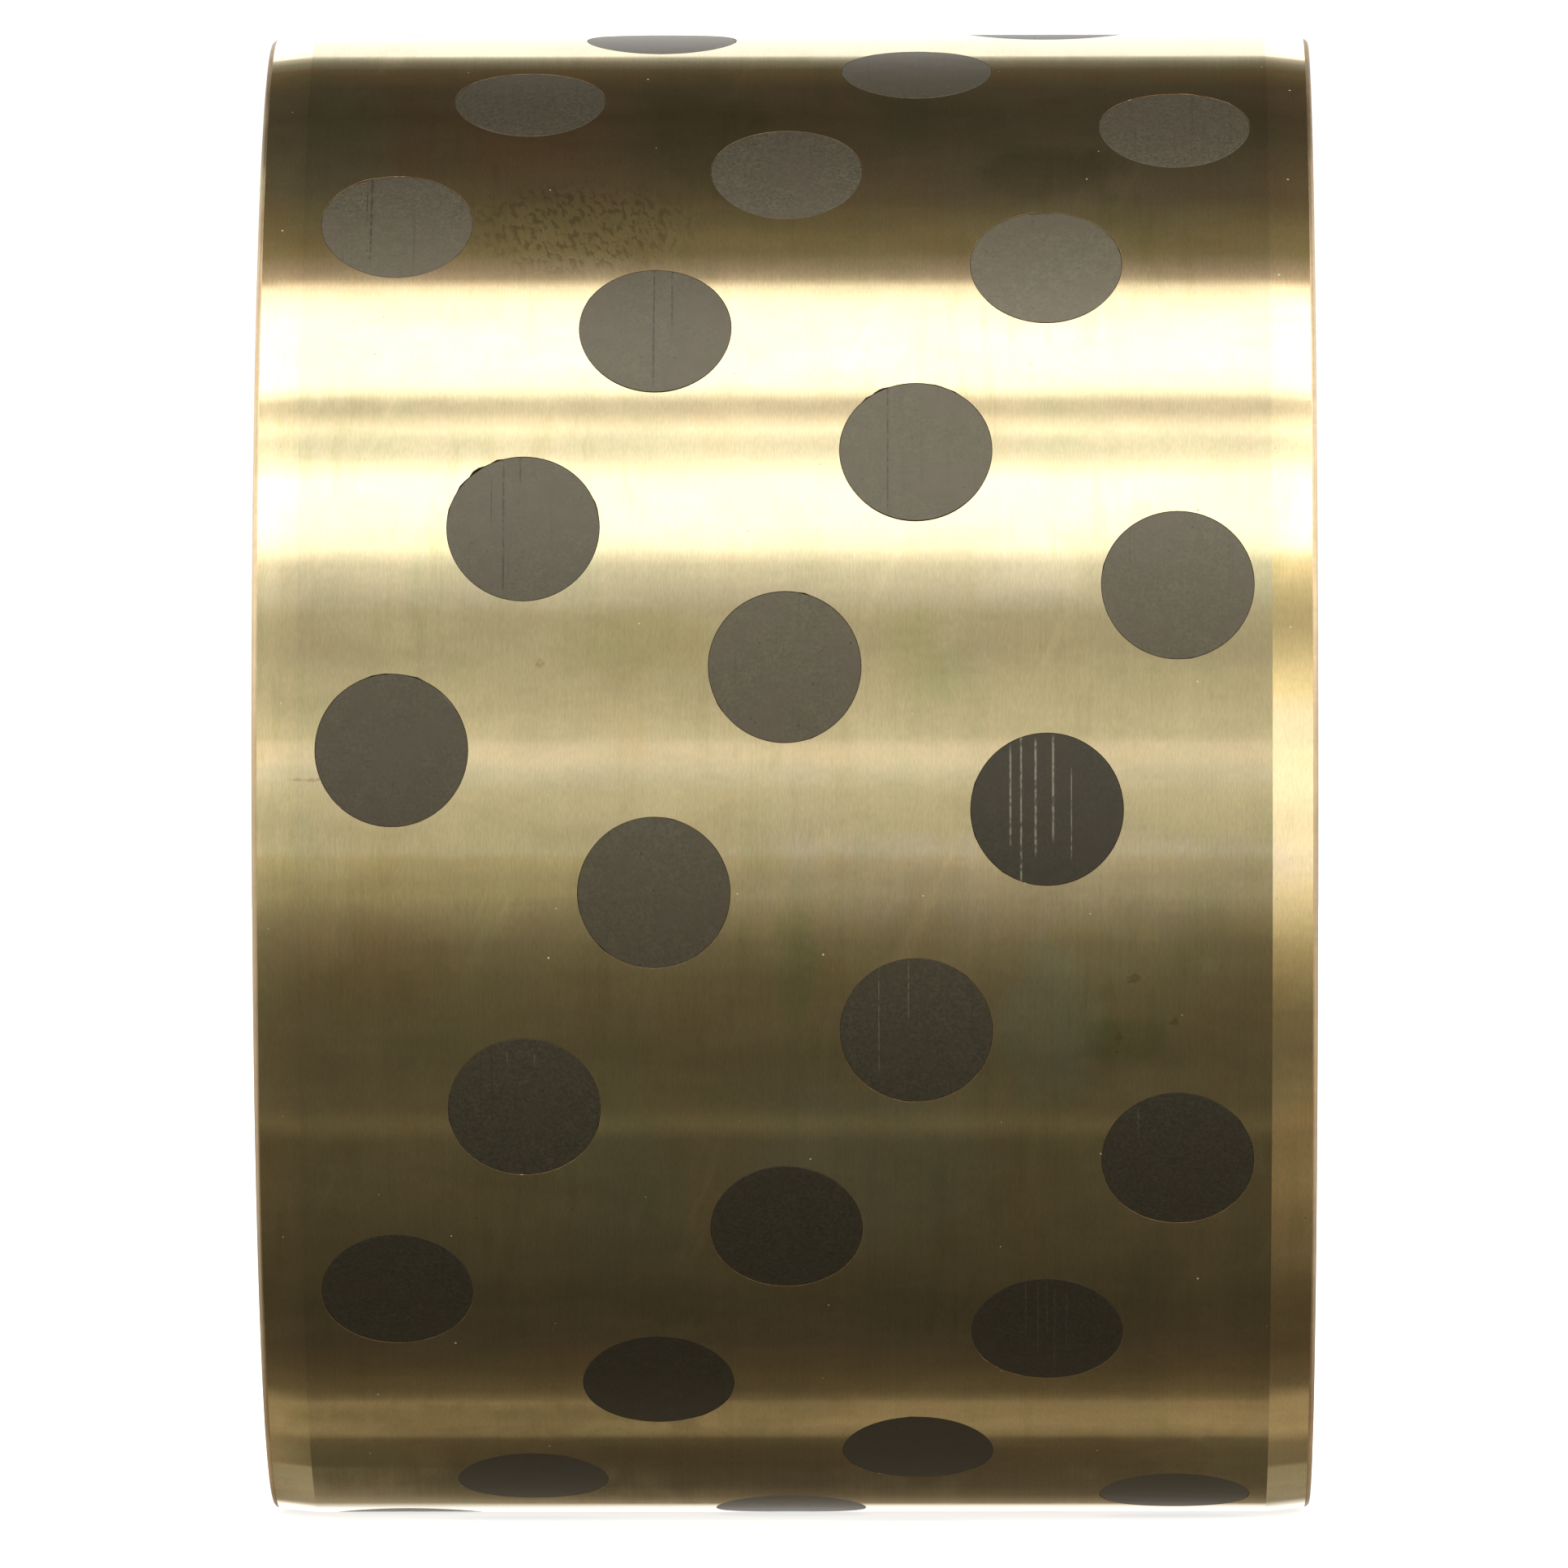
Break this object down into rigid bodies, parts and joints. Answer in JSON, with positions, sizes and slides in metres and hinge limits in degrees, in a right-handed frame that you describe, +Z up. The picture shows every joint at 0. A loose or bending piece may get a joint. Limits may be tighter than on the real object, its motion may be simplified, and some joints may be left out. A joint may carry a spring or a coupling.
{
  "type": "sleeve bushing",
  "caption": "Bronze sleeve bushing with graphite plugs pressed through its wall, flush with the outside and the bore, and a shallow lead-in taper at each end.",
  "frame": {"origin": "centre of the bore, halfway between the two end faces", "axes": "+X along the bore towards the right end face, +Z up; the bushing lies on its side, and its first ring of plugs is at the -X end"},
  "size_m": [0.07, 0.1, 0.1],
  "materials": {
    "bronze": "satin",
    "graphite": "matte"
  },
  "bodies": {
    "root": {"sleeve": "bronze", "graphite_plug_1_1": "graphite", "graphite_plug_1_2": "graphite", "graphite_plug_1_3": "graphite", "graphite_plug_1_4": "graphite", "graphite_plug_1_5": "graphite", "graphite_plug_1_6": "graphite", "graphite_plug_1_7": "graphite", "graphite_plug_1_8": "graphite", "graphite_plug_2_1": "graphite", "graphite_plug_2_2": "graphite", "graphite_plug_2_3": "graphite", "graphite_plug_2_4": "graphite", "graphite_plug_2_5": "graphite", "graphite_plug_2_6": "graphite", "graphite_plug_2_7": "graphite", "graphite_plug_2_8": "graphite", "graphite_plug_3_1": "graphite", "graphite_plug_3_2": "graphite", "graphite_plug_3_3": "graphite", "graphite_plug_3_4": "graphite", "graphite_plug_3_5": "graphite", "graphite_plug_3_6": "graphite", "graphite_plug_3_7": "graphite", "graphite_plug_3_8": "graphite", "graphite_plug_4_1": "graphite", "graphite_plug_4_2": "graphite", "graphite_plug_4_3": "graphite", "graphite_plug_4_4": "graphite", "graphite_plug_4_5": "graphite", "graphite_plug_4_6": "graphite", "graphite_plug_4_7": "graphite", "graphite_plug_4_8": "graphite", "graphite_plug_5_1": "graphite", "graphite_plug_5_2": "graphite", "graphite_plug_5_3": "graphite", "graphite_plug_5_4": "graphite", "graphite_plug_5_5": "graphite", "graphite_plug_5_6": "graphite", "graphite_plug_5_7": "graphite", "graphite_plug_5_8": "graphite", "graphite_plug_6_1": "graphite", "graphite_plug_6_2": "graphite", "graphite_plug_6_3": "graphite", "graphite_plug_6_4": "graphite", "graphite_plug_6_5": "graphite", "graphite_plug_6_6": "graphite", "graphite_plug_6_7": "graphite", "graphite_plug_6_8": "graphite", "graphite_plug_7_1": "graphite", "graphite_plug_7_2": "graphite", "graphite_plug_7_3": "graphite", "graphite_plug_7_4": "graphite", "graphite_plug_7_5": "graphite", "graphite_plug_7_6": "graphite", "graphite_plug_7_7": "graphite", "graphite_plug_7_8": "graphite"}
  },
  "joints": []
}
